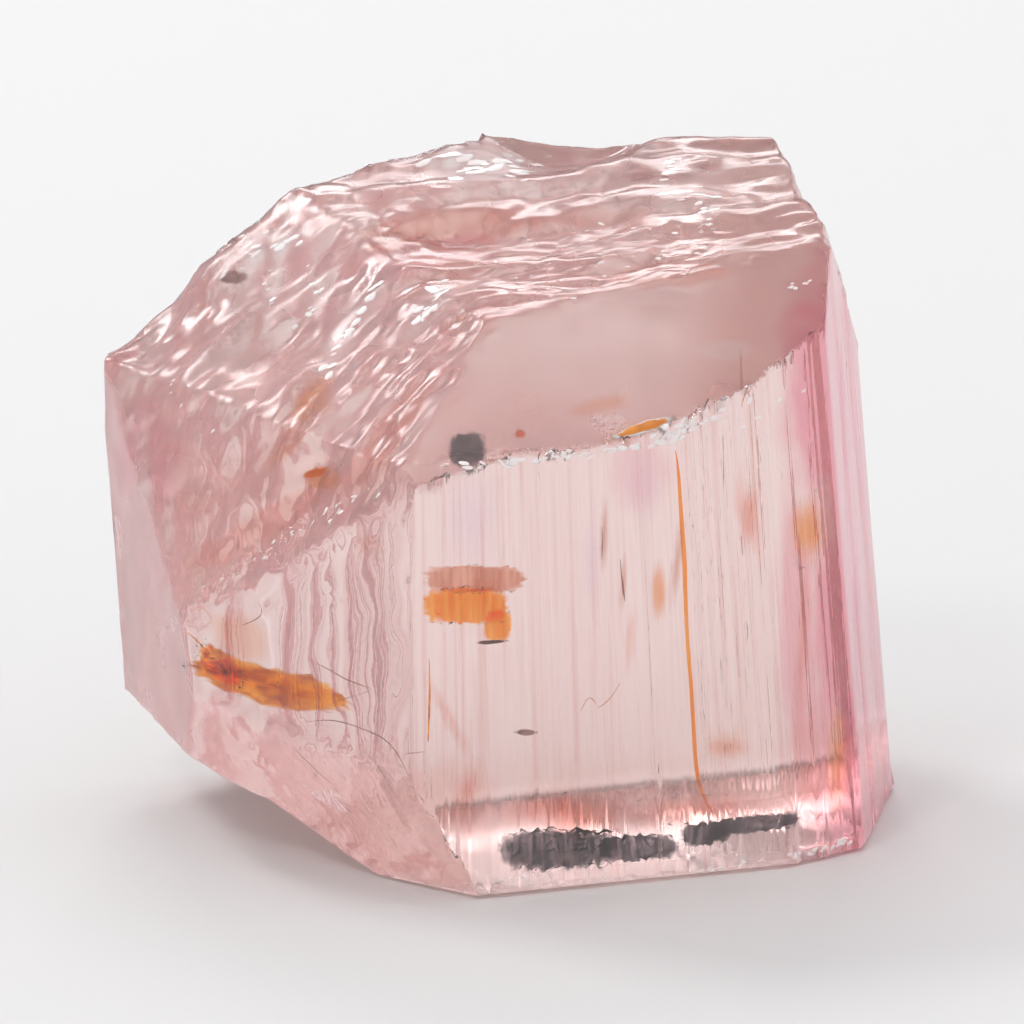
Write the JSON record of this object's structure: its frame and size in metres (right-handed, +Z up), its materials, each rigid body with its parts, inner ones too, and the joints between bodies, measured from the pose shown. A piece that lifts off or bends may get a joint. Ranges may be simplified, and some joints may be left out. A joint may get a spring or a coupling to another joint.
{
  "type": "imperial topaz crystal",
  "caption": "Stubby broken crystal of pink-orange see-through topaz: striated upright prism faces, shell-like fractures on top and left, and a flat cleavage below.",
  "frame": {"origin": "middle of the bounding box on the plane of the basal cleavage that the crystal stands on", "axes": "+Z up along the prism, +X to the right as the picture shows it, -Y towards the viewer"},
  "size_m": [0.018, 0.0144, 0.0149],
  "materials": {
    "imperial_topaz": "clear pink-orange, glassy on prism faces and the front-left face, frosted on fractures"
  },
  "bodies": {
    "root": {"topaz_crystal": "imperial_topaz"}
  },
  "joints": []
}
